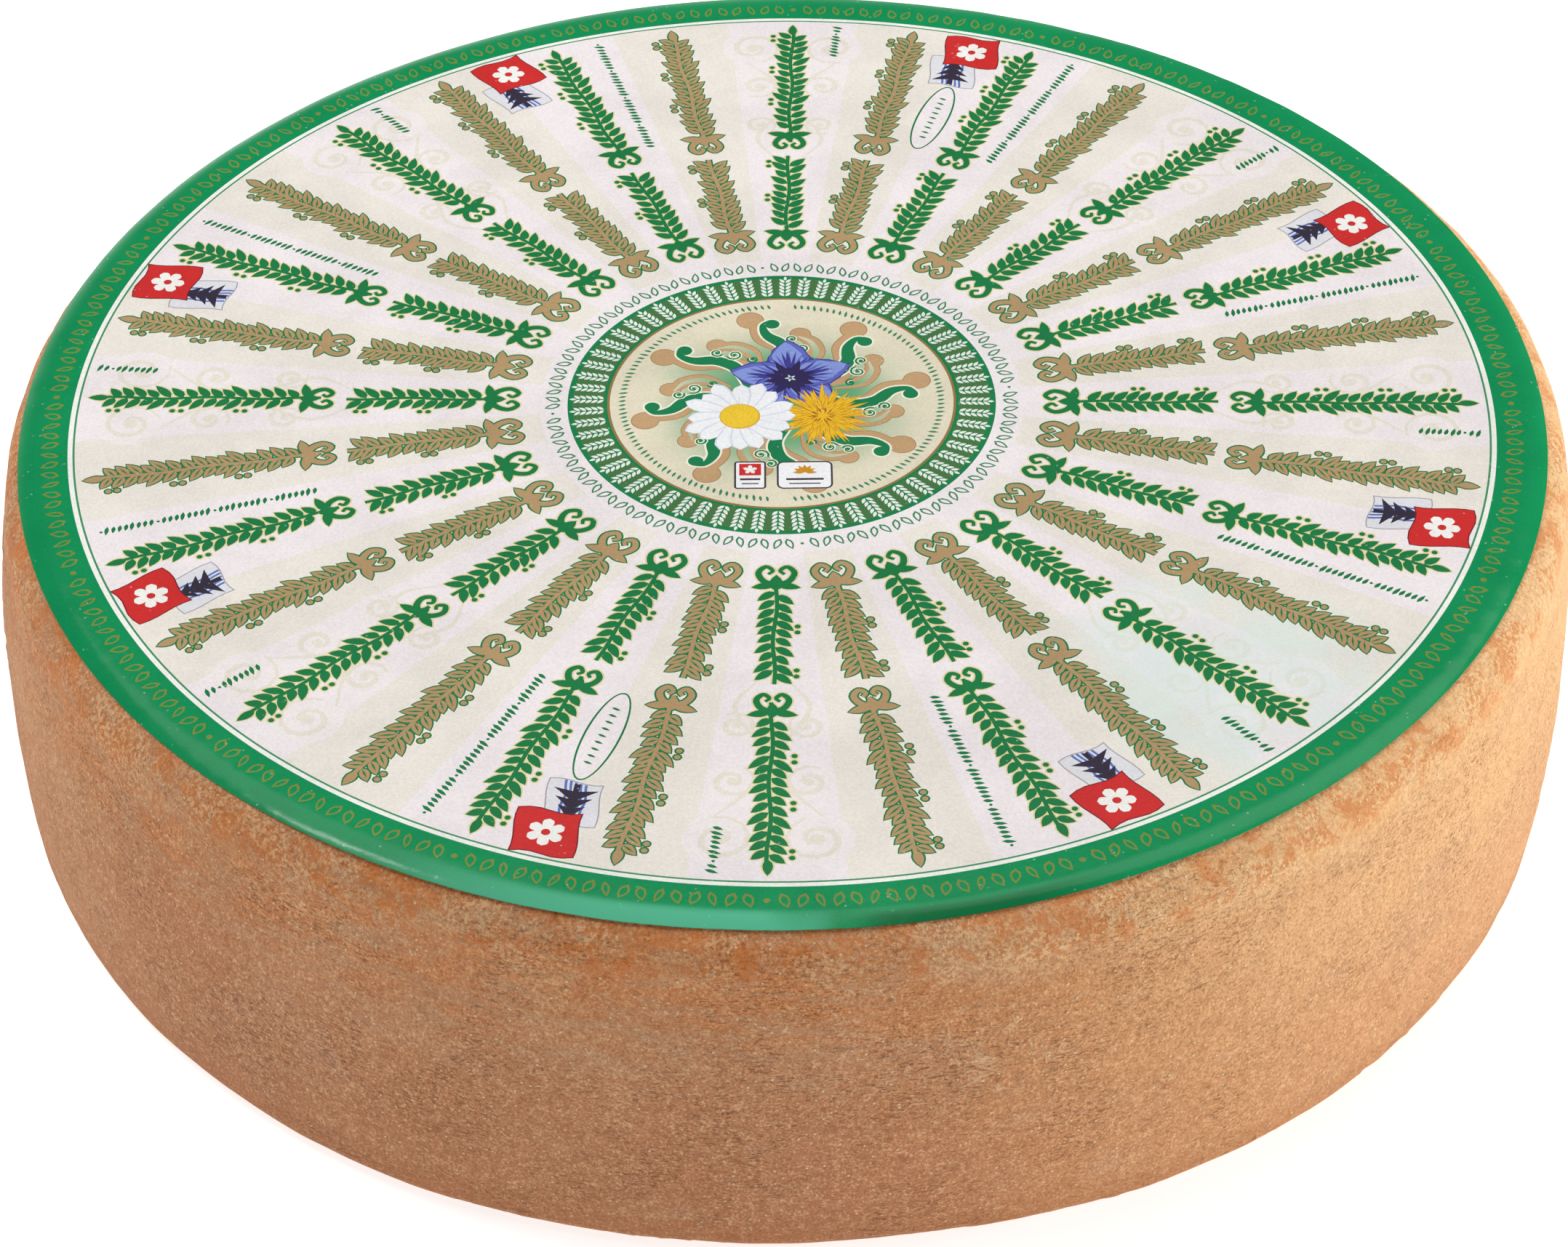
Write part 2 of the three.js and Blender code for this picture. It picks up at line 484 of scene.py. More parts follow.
def make_cheese():
    points, profile = wheel_points()
    rows = len(profile)
    travel = np.concatenate([[0], np.cumsum(np.linalg.norm(np.diff(profile, axis=0), axis=1))])
    first_side = int(np.argmax(profile[:, 1] > 0)) - 1
    last_side = int(np.argmax(profile[:, 1] >= WHEEL_TOP - 1e-6))
    side_span = travel[last_side] - travel[first_side]

    def disc_place(row, column, middle):
        return middle + DISC_SPAN * points[row, column % COLUMNS, :2] / WHEEL_RADIUS

    def strip_place(row, column, strip):
        along = column * SIDE_STRIPS / COLUMNS - strip
        up = (travel[row] - travel[first_side]) / side_span
        x = STRIP_GAP + along * (1 - 2 * STRIP_GAP)
        return x, strip * STRIP_HEIGHT + STRIP_GAP + up * (STRIP_HEIGHT - 2 * STRIP_GAP)

    faces, places = [], []
    for row in range(1, rows - 2):
        on_side = first_side <= row < last_side
        middle = UNDER_MIDDLE if row < first_side else TOP_MIDDLE
        for column in range(COLUMNS):
            corners = ((row, column), (row, column + 1), (row + 1, column + 1), (row + 1, column))
            faces.append([(r - 1) * COLUMNS + c % COLUMNS for r, c in corners])
            if on_side:
                strip = column * SIDE_STRIPS // COLUMNS
                places.extend(strip_place(r, c, strip) for r, c in corners)
            else:
                places.extend(disc_place(r, c, middle) for r, c in corners)
    grid = points[1:-1].reshape(-1, 3)
    below, above = len(grid), len(grid) + 1
    last_ring = (rows - 3) * COLUMNS
    for column in range(COLUMNS):
        after = (column + 1) % COLUMNS
        faces.append([below, after, column])
        places.append(UNDER_MIDDLE)
        places.extend(disc_place(1, c, UNDER_MIDDLE) for c in (after, column))
        faces.append([above, last_ring + column, last_ring + after])
        places.append(TOP_MIDDLE)
        places.extend(disc_place(-2, c, TOP_MIDDLE) for c in (column, after))

    vertices = np.vstack([grid, points[0].mean(0), points[-1].mean(0)])
    cheese = make_mesh("cheese_rind", vertices, faces, [rind_material()])
    layer = cheese.data.uv_layers.new(name="OFBake")
    layer.data.foreach_set("uv", np.array(places).ravel())
    cheese.data.shade_smooth()
    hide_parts("cheese_wheel")
    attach(cheese, "root")


make_cheese()


# ==== Drawing the print: shapes are outlines in millimetres, laid down in order like inks ====
layers = []                             # (ink, outline), later ones over earlier ones


def ink(name, outline):
    layers.append((name, np.asarray(outline, float)))


def turned(outline, degrees):
    a = math.radians(degrees)
    return np.asarray(outline) @ np.array([[math.cos(a), math.sin(a)], [-math.sin(a), math.cos(a)]])


def placed(outline, x, y, degrees=0.0):
    return turned(outline, degrees) + (x, y)


def on_spoke(outline, radius, aside, azimuth, lean_by=0.0):
    """Puts a shape on a spoke: its +X points outwards, then the spoke is swung to its azimuth."""
    return turned(placed(outline, radius, aside, lean_by), azimuth)


def polar(radius, azimuth):
    return np.column_stack([radius * np.cos(azimuth), radius * np.sin(azimuth)])


def disc(radius, steps=24, centre=(0, 0)):
    return polar(radius, np.linspace(0, 2 * math.pi, steps, endpoint=False)) + centre


def band(inner, outer, from_degrees, to_degrees, step=1.0):
    """A piece of a ring."""
    count = max(2, int(abs(to_degrees - from_degrees) / step) + 1)
    a = np.radians(np.linspace(from_degrees, to_degrees, count))
    return np.vstack([polar(outer, a), polar(inner, a)[::-1]])


def leaf(length, width, droop=0.0, steps=5):
    """A pointed leaf from the origin along +X, fullest nearer its foot; droop bends its tip aside."""
    t = np.linspace(0, 1, steps + 1)
    half = width / 2 * np.sin(math.pi * t ** 0.8).clip(0) ** 0.8
    bend = droop * t ** 2
    upper = np.column_stack([t * length, bend + half])
    lower = np.column_stack([t * length, bend - half])
    return np.vstack([lower, upper[-2:0:-1]])


def petal(length, width, steps=9):
    """A round-ended petal along +X."""
    tip = 0.72      # the share of its length at which it is widest
    t = np.linspace(0, 1, steps + 1)
    widening = 0.35 + 0.65 * np.sin(t / tip * math.pi / 2)
    rounding = np.sqrt(np.clip(1 - ((t - tip) / (1 - tip)) ** 2, 0, 1))
    half = width / 2 * np.where(t < tip, widening, rounding)
    upper = np.column_stack([t * length, half])
    lower = np.column_stack([t * length, -half])
    return np.vstack([lower, upper[-2::-1]])


def smooth_path(points, steps=6):
    """A smooth path through a few points."""
    p = np.array(points, float)
    p = np.vstack([2 * p[0] - p[1], p, 2 * p[-1] - p[-2]])
    t = np.linspace(0, 1, steps, endpoint=False)[:, None]
    parts = []
    for a, b, c, d in zip(p, p[1:], p[2:], p[3:]):
        square, cube = 2 * a - 5 * b + 4 * c - d, 3 * b - a - 3 * c + d
        parts.append(0.5 * (2 * b + (c - a) * t + square * t ** 2 + cube * t ** 3))
    return np.vstack(parts + [p[-2:-1]])


def ribbon(path, widths):
    """The outline of a stroke along a path, its width running through the given widths."""
    path = np.asarray(path, float)
    along = np.gradient(path, axis=0)
    along /= np.linalg.norm(along, axis=1)[:, None]
    side = np.column_stack([-along[:, 1], along[:, 0]])
    share = np.linspace(0, 1, len(path))
    half = np.interp(share, np.linspace(0, 1, len(widths)), widths)[:, None] / 2
    return np.vstack([path + side * half, (path - side * half)[::-1]])


def spiral(radius, turns, start_degrees, way, end_share=0.25):
    """A path that winds in from radius about the origin."""
    t = np.linspace(0, 1, int(12 * turns))
    a = np.radians(start_degrees) + way * 2 * math.pi * turns * t
    return polar(radius * (1 - (1 - end_share) * t), a)


# ---- The layout of the disc ----
PRINT_TURN = -1.4                       # how far the whole print sits turned on the cheese, degrees
SPOKES = 32
SPOKE_STEP = 360 / SPOKES
RIM_INNER = 139.1
WHITE_LINE_INNER = 138.15
THIN_LINE_INNER = 137.75
WEDGE_INNER = 47.3
CREAM_HALF = 5.35                       # half the angle of a cream wedge, degrees
RIM_CHAIN_RADIUS = 142.6
CAPTION_RADIUS = 44.9                   # of the thin leaf chain round the middle
RING_OUTER = 41.97
RING_INNER = 34.2
MEDALLION = 33.7


def azimuth_of(spoke):
    return PRINT_TURN + spoke * SPOKE_STEP


def print_ground():
    ink("rim_green", disc(LABEL_RADIUS, 720))
    ink("film_white", disc(RIM_INNER, 720))
    ink("line_green", disc(WHITE_LINE_INNER, 720))
    ink("paper_white", disc(THIN_LINE_INNER, 720))
    for spoke in range(1, SPOKES, 2):
        middle = azimuth_of(spoke)
        ink("cream", band(WEDGE_INNER, THIN_LINE_INNER, middle - CREAM_HALF, middle + CREAM_HALF))


def faint_scrolls(azimuth):
    """Pale curls behind a plain white wedge, which run a little way over its cream neighbours."""
    curls = ((127, 8.5, 6.0, 200), (112, 6.8, 4.4, 150), (97, 6.4, 3.6, 210))
    tail = ((84, 2.5), (92, 6.8), (102, 2.6), (113, 3.2), (121, 9.5))
    for side in (1, -1):
        for radius, aside, size, start in curls:
            curl = spiral(size, 1.35, start, side)
            for name, outline in (
                ("pale_white", disc(size * 1.12, 20)),
                ("pale_cream", ribbon(curl, (0.5, 1.3, 0.6))),
                ("pale_cream", disc(size * 0.24, 10)),
            ):
                ink(name, on_spoke(outline, radius, side * aside, azimuth))
        path = smooth_path([(radius, side * aside) for radius, aside in tail])
        ink("pale_cream", turned(ribbon(path, (0.3, 1.0, 0.6, 1.1, 0.4)), azimuth))


def sprig(azimuth, fill, outline, rim, veined):
    """A leafy sprig out along a spoke, in two lengths, each leaf edged with a second ink."""
    shapes = []     # (outline maker, radius, aside, turn); a maker is given the edge's width
    veins = []      # (radius, aside, turn, length)

    def add(maker, radius=0.0, aside=0.0, turn=0.0):
        shapes.append((maker, radius, aside, turn))

    def add_leaf(length, width, droop, radius, aside, turn):
        def grown(grow):
            return leaf(length + 2 * grow, width + 2 * grow, droop) - (grow, 0)
        add(grown, radius, aside, turn)

    def add_stem(start, end):
        reach = np.linspace(start, end, int((end - start) / 4) + 2)
        path = smooth_path([(r, 0.3 * math.sin(r / 3.1)) for r in reach], 3)
        add(lambda grow: ribbon(path, (0.8 + 2 * grow,) * 2))

    def add_scrolls(radius, size):
        """A pair of curls, one each side of the stem, with a bud between them."""
        curl = ((0, 0), (-0.5, 0.95), (-1.5, 1.35), (-2.2, 0.8), (-1.75, 0.28), (-1.3, 0.62))
        for side in (1, -1):
            path = smooth_path(np.array(curl) * (size, side * size), 4)
            add(lambda grow, path=path: ribbon(path, np.array([1.5, 1.15, 0.65]) + 2 * grow), radius)
        add_leaf(1.9 * size, 1.1 * size, 0, radius + 1.6, 0, 180)

    add_stem(56.5, 85.5)
    add_stem(90.5, 133.5)
    add_scrolls(57.2, 2.5)
    add_scrolls(93.2, 2.2)
    for side in (1, -1):
        add_leaf(4.4, 2.0, -0.5 * side, 57.2, 0.3 * side, side * 88)
        add_leaf(4.4, 2.0, -0.5 * side, 93.4, 0.3 * side, side * 88)
    count = 0
    for start, end in ((59.6, 84.5), (95.6, 133.0)):
        for radius in np.arange(start, end, 2.5):
            size = 1 + 0.12 * math.sin(2.3 * count + 0.5) + (0.2 if count % 6 == 2 else 0)
            for side in (1, -1):
                turn = side * (58 - 4 * math.sin(count))
                add_leaf(4.0 * size, 1.95, -0.5 * side, radius + 0.5 * side, 0.1 * side, turn)
                if veined:
                    veins.append((radius + 0.5 * side, 0.1 * side, turn - 4 * side, 3.2 * size))
            if count % 5 == 3:
                for ahead in (2.0, 3.7):
                    add(lambda grow: disc(0.6 + grow, 8), radius + ahead, 4.2)
            count += 1
    add_leaf(4.2, 1.9, 0, 132.2, 0, 0)
    for grow, name in ((rim, outline), (0.0, fill)):
        for maker, radius, aside, turn in shapes:
            ink(name, on_spoke(maker(grow), radius, aside, azimuth, turn))
    for radius, aside, turn, length in veins:
        ink(outline, on_spoke(leaf(length, 0.42, 0, 2), radius, aside, azimuth, turn))


def stitched_line(azimuth, start, end):
    """A fine row of small slanting seeds, where a line of small print would run."""
    for count, radius in enumerate(np.arange(start, end, 1.22)):
        if count % 9 == 7:
            ink("text_green", on_spoke(disc(0.34, 6), radius, 0, azimuth))
            continue
        tall = 2.7 if count % 4 == 1 else 2.1
        seed = leaf(tall, 0.86, 0, 3)
        ink("text_green", on_spoke(seed, radius - 0.25, -tall / 2, azimuth, 72))


def banner_pair(azimuth):
    """A red banner with a white flower, over a pale one with blue stripes and a little fir tree."""
    def waved(points):
        p = np.asarray(points, float)
        return p + np.column_stack([0.55 * np.sin(p[:, 1] / 1.9), 0.45 * np.sin(p[:, 0] / 2.4)])

    def cloth(half_wide, half_high):
        across = np.linspace(-half_wide, half_wide, 7)
        up = np.linspace(-half_high, half_high, 7)
        return waved(
            [(x, -half_high) for x in across[:-1]] + [(half_wide, y) for y in up[:-1]]
            + [(x, half_high) for x in across[:0:-1]] + [(-half_wide, y) for y in up[:0:-1]]
        )

    def put(name, outline, radius, aside):
        ink(name, on_spoke(outline, radius, aside, azimuth, 8))

    pale = (122.8, 1.4)
    put("banner_edge", cloth(5.6, 5.0), *pale)
    put("banner_pale", cloth(5.35, 4.75), *pale)
    for stripe in range(5):
        y = -1.9 + 0.95 * stripe
        wave = smooth_path([(-5.3, y), (-1.5, y + 0.5), (2.0, y - 0.4), (5.3, y)])
        put("banner_blue", waved(ribbon(wave, (0.5, 0.5))), *pale)
    for x, reach in ((-3.6, 4.1), (-1.4, 3.4), (0.8, 2.5)):
        put("banner_dark", [(x, -reach), (x + 3.4, 0), (x, reach), (x + 0.7, 0)], *pale)
    put("banner_dark", ribbon([(-4.9, 0), (3.0, 0)], (1.2, 0.6)), *pale)
    red = (131.4, -0.4)
    put("banner_shade", cloth(5.75, 5.9), *red)
    put("banner_red", cloth(5.5, 5.65), *red)
    for step in range(6):
        put("banner_white", turned(petal(3.5, 2.1), step * 60), *red)
    put("banner_red", disc(0.85, 10), *red)


def small_oval(azimuth):
    """A thin green oval with a row of seeds in it."""
    for name, half_long, half_short in (("text_green", 12.4, 3.45), ("paper_white", 12.0, 3.05)):
        ink(name, on_spoke(disc(1, 40) * (half_long, half_short), 104.5, 0, azimuth))
    for step in range(9):
        ink("text_green", on_spoke(leaf(1.9, 0.6, 0, 3), 96.6 + 1.9 * step, -0.95, azimuth, 78))


def chain(links, start, radius, bead_every, bead, link_inks, link_shapes):
    """A ring of hollow pointed links that tilt by turns, with a bead now and then."""
    for link in range(links):
        azimuth = PRINT_TURN + start + link * 360 / links
        if link % bead_every == 0:
            ink(link_inks[0], on_spoke(disc(bead, 8), radius, 0, azimuth))
            continue
        shapes, tilt = link_shapes(link)
        for name, (length, width) in zip(link_inks, shapes):
            ink(name, on_spoke(leaf(length, width, 0, 4) - (length / 2, 0), radius, 0, azimuth, tilt))


def rim_chain():
    """A gold chain round the green rim."""
    def shapes(link):
        width = 2.0 if link % 3 else 1.5
        return ((3.8, width), (2.5, width - 0.74)), 18 if link % 2 else -18
    chain(288, 0, RIM_CHAIN_RADIUS, 18, 0.62, ("rim_gold", "rim_green"), shapes)


def caption_chain():
    """Thin green links round the middle, in four runs."""
    def shapes(link):
        return ((3.4, 1.6), (2.3, 0.84)), 20 if link % 2 else -20
    chain(120, 6, CAPTION_RADIUS, 30, 0.35, ("caption_green", "paper_white"), shapes)


def barley_ring():
    """The green ring: white ears of barley with woven blocks between them."""
    ink("ring_green", disc(RING_OUTER, 360))
    ears = 64
    step = 360 / ears
    for ear in range(ears):
        azimuth = PRINT_TURN + ear * step
        block = band(RING_INNER + 0.6, RING_OUTER - 1.0, 0.3 * step, 0.7 * step, 0.4)
        ink("ring_weave", turned(block, azimuth))
        for grain, side in itertools.product(range(5), (1, -1)):
            radius = 34.9 + 1.15 * grain
            ink("ring_white", on_spoke(leaf(1.75, 0.78, 0, 3), radius, 0.1 * side, azimuth, side * 40))
        ink("ring_white", on_spoke(leaf(1.4, 0.7, 0, 3), 40.3, 0, azimuth))
    ink("ring_gold", disc(RING_INNER, 300))
    ink("medallion", disc(MEDALLION, 300))


def medallion_scrolls():
    """Eight pairs of scrolls round the flowers: broad tan ones behind, a green one in front."""
    big = smooth_path([(7, -1.0), (12.5, -3.2), (17.5, -1.3), (20.8, 2.6), (25.4, 3.9)])
    small = smooth_path([(10, -4.8), (14.8, -7.8), (18.9, -7.2), (21.3, -4.6)])
    stem = smooth_path([(8, 1), (13.4, -2.1), (18.2, -1.5), (21.6, 1.4), (24.8, 2.1), (26.4, 0.9)])
    curls = (((17.0, -5.2), 1.6, 60, 1), ((20.1, -3.4), 1.25, 200, -1), ((13.2, -6.5), 1.1, 20, 1))
    shapes = []
    for name, grow in (("scroll_brown", 0.2), ("scroll_tan", 0.0)):
        shapes.append((name, ribbon(big, np.array([1.6, 4.2, 4.2, 3.2, 1.8]) + 2 * grow)))
        shapes.append((name, disc(2.6 + grow, 22, (27.0, 4.5))))
        shapes.append((name, ribbon(small, np.array([1.6, 3.4, 3.2, 1.6]) + 2 * grow)))
        shapes.append((name, disc(2.0 + grow, 18, (21.6, -5.2))))
    shapes.append(("medallion", ribbon(small * 0.97 + (0.3, -0.2), (0.5, 1.3, 1.1, 0.3))))
    for name, grow in (("scroll_pale", 0.42), ("scroll_green", 0.0)):
        shapes.append((name, ribbon(stem, np.array([1.2, 2.9, 2.7, 1.5, 0.7]) + 2 * grow)))
        shapes.append((name, disc(1.5 + grow, 18, (25.4, 0.2))))
    for centre, size, start, way in curls:
        curl = spiral(size, 1.3, start, way, 0.2) + centre
        shapes.append(("scroll_pale", ribbon(curl, (0.95, 0.8))))
        shapes.append(("scroll_green", ribbon(curl, (0.46, 0.34))))
        shapes.append(("scroll_green", disc(0.36, 8, centre)))
    for arm, (name, outline) in itertools.product(range(8), shapes):
        ink(name, turned(outline, 3.5 + 45 * arm))


def uneven_petal(length, width, seed):
    """A broad pointed petal whose sides waver."""
    outline = leaf(length, width, 0, 11)
    along, aside = outline.T
    waver = 0.3 * np.sin(2.1 * along + 1.7 * seed) + 0.2 * np.sin(4.3 * along + seed)
    t = np.clip(along / length, 0, 1)
    return outline + np.column_stack([0 * waver, np.sign(aside) * waver * t * np.sin(math.pi * t)])


def gentian(x, y):
    """A blue gentian from the front: five broad pointed lobes round a dark throat."""
    for step in range(5):
        ink("gentian_deep", placed(leaf(7.8, 5.4), x, y, 54 + 72 * step))
        ink("gentian_blue", placed(leaf(7.0, 4.0), x, y, 57 + 72 * step))
    for step in range(5):
        angle = 92 + 72 * step + 5 * math.sin(2.4 * step)
        reach = 11.8 + 0.8 * math.sin(1.9 * step + 1)
        ink("gentian_deep", placed(uneven_petal(reach + 0.3, 8.9, step), x, y, angle))
        ink("gentian_blue", placed(uneven_petal(reach, 8.3, step), x, y, angle))
        face = uneven_petal(reach - 0.9, 6.6, step + 3) + (0.5, 0)
        ink("gentian_light", placed(face, x, y, angle + 3))
        for streak in range(-3, 4):
            name = "gentian_deep" if streak % 2 else "gentian_blue"
            line = leaf(8.2 - 0.5 * abs(streak), 0.7, 0.3 * streak, 3) + (1.2, 0)
            ink(name, placed(line, x, y, angle + 7.5 * streak))
        ink("gentian_deep", placed(leaf(9.0, 1.1, 0.4, 4), x, y, angle))
    for step in range(15):
        reach = 5.0 + 1.2 * math.sin(2.7 * step)
        ink("gentian_dark", placed(leaf(reach, 1.9, 0, 4), x, y, 24 * step))
    ink("gentian_dark", disc(3.1, 20, (x, y)))
    for step in range(5):
        ink("daisy_shade", placed(leaf(1.2, 0.5, 0, 3), x, y, 40 + 72 * step))
    ink("scroll_green", disc(0.4, 8, (x, y)))


def dandelion(x, y):
    """A ragged yellow flower: rings of thin rays, deeper towards the middle."""
    rings = (
        (38, 9.6, 1.15, "dandelion_deep"), (38, 9.3, 0.85, "dandelion_yellow"),
        (34, 8.0, 1.05, "dandelion_deep"), (34, 7.7, 0.75, "dandelion_yellow"),
        (30, 6.2, 0.95, "dandelion_brown"), (30, 6.0, 0.7, "dandelion_yellow"),
        (24, 4.4, 0.8, "dandelion_deep"), (24, 4.2, 0.55, "dandelion_yellow"),
        (16, 2.7, 0.6, "dandelion_brown"), (14, 2.2, 0.42, "dandelion_yellow"),
    )
    for ring, (count, length, width, name) in enumerate(rings):
        for ray in range(count):
            reach = length * (1 + 0.08 * math.sin(5.1 * ray + ring // 2) + 0.06 * math.sin(2.2 * ray))
            angle = 360 / count * ray + 5 * (ring // 2) + 4 * math.sin(3.7 * ray)
            ink(name, placed(leaf(reach, width, 0.4 * math.sin(ray), 3), x, y, angle))


def daisy(x, y):
    """A white daisy: two tones of petal round a yellow eye."""
    petals = 16
    for step in range(petals):
        angle = 360 / petals * step + 3 * math.sin(4.2 * step)
        reach = 11.0 + 0.8 * math.sin(2.9 * step)
        ink("daisy_shade", placed(petal(reach, 3.8), x, y, angle))
        ink("daisy_white", placed(petal(reach - 0.2, 3.35), x, y, angle + 1.0))
        ink("daisy_shade", placed(leaf(reach - 3.0, 0.3, 0, 3), x, y, angle + 4))
    ink("daisy_rim", disc(4.0, 26, (x, y)))
    ink("daisy_eye", disc(3.75, 26, (x - 0.1, y + 0.1)))
    for dot in range(34):
        reach, angle = 3.4 * math.sqrt((dot + 0.5) / 34), 2.39996 * dot
        spot = (x + reach * math.cos(angle), y + reach * math.sin(angle))
        ink("dandelion_yellow", disc(0.22, 6, spot))


def rectangle(width, height):
    return np.array([(-1, -1), (1, -1), (1, 1), (-1, 1)]) * (width / 2, height / 2)


def plaque(x, y, width, height, corner):
    """A small tag: a dark edge, a white field and two rules."""
    def card(grow):
        half_w, half_h, r = width / 2 + grow, height / 2 + grow, corner + grow
        quarter = np.radians(np.linspace(0, 90, 5))
        return np.vstack([
            polar(r, quarter + math.radians(turn)) + (x + sx * (half_w - r), y + sy * (half_h - r))
            for sx, sy, turn in ((1, 1, 0), (-1, 1, 90), (-1, -1, 180), (1, -1, 270))
        ])
    ink("plaque_dark", card(0.38))
    ink("daisy_white", card(0.0))
    for row, (share, thick) in enumerate(((0.72, 0.6), (0.6, 0.34))):
        ink("plaque_dark", rectangle(width * share, thick) + (x, y - 1.3 - 1.35 * row))


def seed_ring():
    """A ring of fine seeds just inside the medallion's edge, in two runs."""
    seeds = 148
    for seed in range(seeds):
        azimuth = -90 + 4 + seed * 360 / seeds
        if seed % 74 > 70:
            continue
        tall = 2.2 if seed % 5 == 2 else 1.7
        ink("caption_green", on_spoke(leaf(tall, 0.6, 0, 3), 31.3 - tall / 2, 0, azimuth, 14))


def print_medallion():
    seed_ring()
    medallion_scrolls()
    gentian(1.8, 7.3)
    dandelion(8.0, -5.0)
    daisy(-8.2, -5.0)
    plaque(-6.2, -23.7, 5.4, 7.8, 0.3)
    ink("banner_red", rectangle(4.2, 3.6) + (-6.2, -22.0))
    for step in range(5):
        ink("banner_white", placed(petal(1.4, 0.85, steps=4), -6.2, -22.0, 72 * step + 18))
    plaque(4.3, -23.8, 10.0, 7.8, 1.0)
    for step in range(7):
        ink("dandelion_deep", placed(leaf(2.4, 0.9, 0, 3), 4.3, -23.0, 30 * step))


def draw_print():
    print_ground()
    for spoke in range(0, SPOKES, 4):
        faint_scrolls(azimuth_of(spoke))
    for spoke in range(0, SPOKES, 4):
        stitched_line(azimuth_of(spoke) - 4.1, 124.5, 136.0)
    for spoke in range(2, SPOKES, 4):
        stitched_line(azimuth_of(spoke) - 4.2, 93.5, 135.5)
        banner_pair(azimuth_of(spoke) + 5.4)
    for spoke in (6, 22):
        small_oval(azimuth_of(spoke) + 5.6)
    for spoke in range(SPOKES):
        if spoke % 2:
            sprig(azimuth_of(spoke), "sprig_tan", "text_green", 0.36, True)
        else:
            sprig(azimuth_of(spoke), "text_green", "sprig_edge", 0.32, False)
    rim_chain()
    caption_chain()
    barley_ring()
    print_medallion()


# ==== The label's shape ====
LIFTED_AT = math.radians(68)            # azimuth at which the rim stands furthest off the shoulder
PRINT_SPAN = 0.485                      # radius of the UVs of the print
EDGE_SPAN = 0.4885                      # of the cut edge, a hair outside it
BACK_SPAN = 0.06                        # and of the underside, which sits in a corner
BACK_CORNER = 0.07
BEND_RINGS = (140.4, 144.9, 145.8, 146.6, 147.3, 148.0)     # extra points where the rim turns down
UNDER_RINGS = (147.5, 146, 144.5, 142, 136, 110, 60)        # points of the plain underside


def label_height(x, y):
    """Height of the printed side: flat, a little rippled, and turned down over the shoulder."""
    x, y = np.asarray(x, float), np.asarray(y, float)
    flat = np.column_stack([x, y, 0 * x])
    azimuth = np.arctan2(y, x)
    radius = np.hypot(x, y)
    own = np.hypot(x - TOP_SHIFT[0], y - TOP_SHIFT[1]) - swell(azimuth, WHEEL_TOP)
    clear = LABEL_TOP - WHEEL_TOP
    reach = np.clip(own - TOP_FLAT, 0, SHOULDER)
    bend = SHOULDER + clear
    drop = bend - np.sqrt(bend ** 2 - reach ** 2)
    standing_off = smoothstep(0.3, 0.95, np.cos(azimuth - LIFTED_AT))
    drop = drop * (1 - 0.6 * standing_off)
    ripple = 0.05 * layered_noise(flat, 42, 51) + 0.018 * layered_noise(flat, 9, 57, 2)
    rounds = np.column_stack([polar(150, azimuth), 0 * x])
    near_rim = smoothstep(136, 147, radius)
    creased = 0.35 + 0.65 * smoothstep(-0.1, 0.6, value_noise(rounds, 60, 71))
    pucker = 0.10 * layered_noise(rounds, 16, 61, 2) + 0.09 * creased * layered_noise(rounds, 5.5, 67, 2)
    return np.minimum(LABEL_TOP - drop + ripple + near_rim * pucker, label_high[2] - 0.01)


def label_normals(x, y):
    step = 0.15
    slope_x = (label_height(x + step, y) - label_height(x - step, y)) / (2 * step)
    slope_y = (label_height(x, y + step) - label_height(x, y - step)) / (2 * step)
    normal = np.column_stack([-slope_x, -slope_y, np.ones(len(x))])
    return normal / np.linalg.norm(normal, axis=1)[:, None]


def counter_clockwise(outline):
    x, y = outline[:, 0], outline[:, 1]
    area = np.sum(x * np.roll(y, -1) - np.roll(x, -1) * y)
    return outline if area > 0 else outline[::-1]


def filling_points():
    """Points between the inks' outlines, so that the paper can bend: a hex grid and rings at the rim."""
    spacing = 2.6
    loose = []
    for row, y in enumerate(np.arange(-138, 138, spacing * math.sqrt(3) / 2)):
        for x in np.arange(-138, 138, spacing):
            x_here = x + spacing / 2 * (row % 2)
            if math.hypot(x_here, y) < 137:
                loose.append((x_here + 0.003, y + 0.007))
    for ring, radius in enumerate(BEND_RINGS):
        loose.extend(turned(disc(radius, 720), 0.25 * (ring % 2)))
    return loose


def cut_into_inks():
    """Cuts the disc along every outline. Returns flat points, triangles and each one's ink name."""
    corners, rings = [], []
    for _, outline in layers:
        outline = counter_clockwise(outline)
        rings.append(list(range(len(corners), len(corners) + len(outline))))
        corners.extend(outline)
    corners.extend(filling_points())
    flat = [Vector((float(x), float(y))) for x, y in corners]
    points, _, triangles, _, _, sources = delaunay_2d_cdt(flat, [], rings, 1, 1e-4, True)
    top_layer = [max(source) if source else 0 for source in sources]
    return np.array([tuple(p) for p in points]), triangles, [layers[i][0] for i in top_layer]


def read(items, attribute, width=1, kind=int):
    """One attribute of every vertex, corner or face of a mesh, as a flat array."""
    values = np.empty(len(items) * width, kind)
    items.foreach_get(attribute, values)
    return values


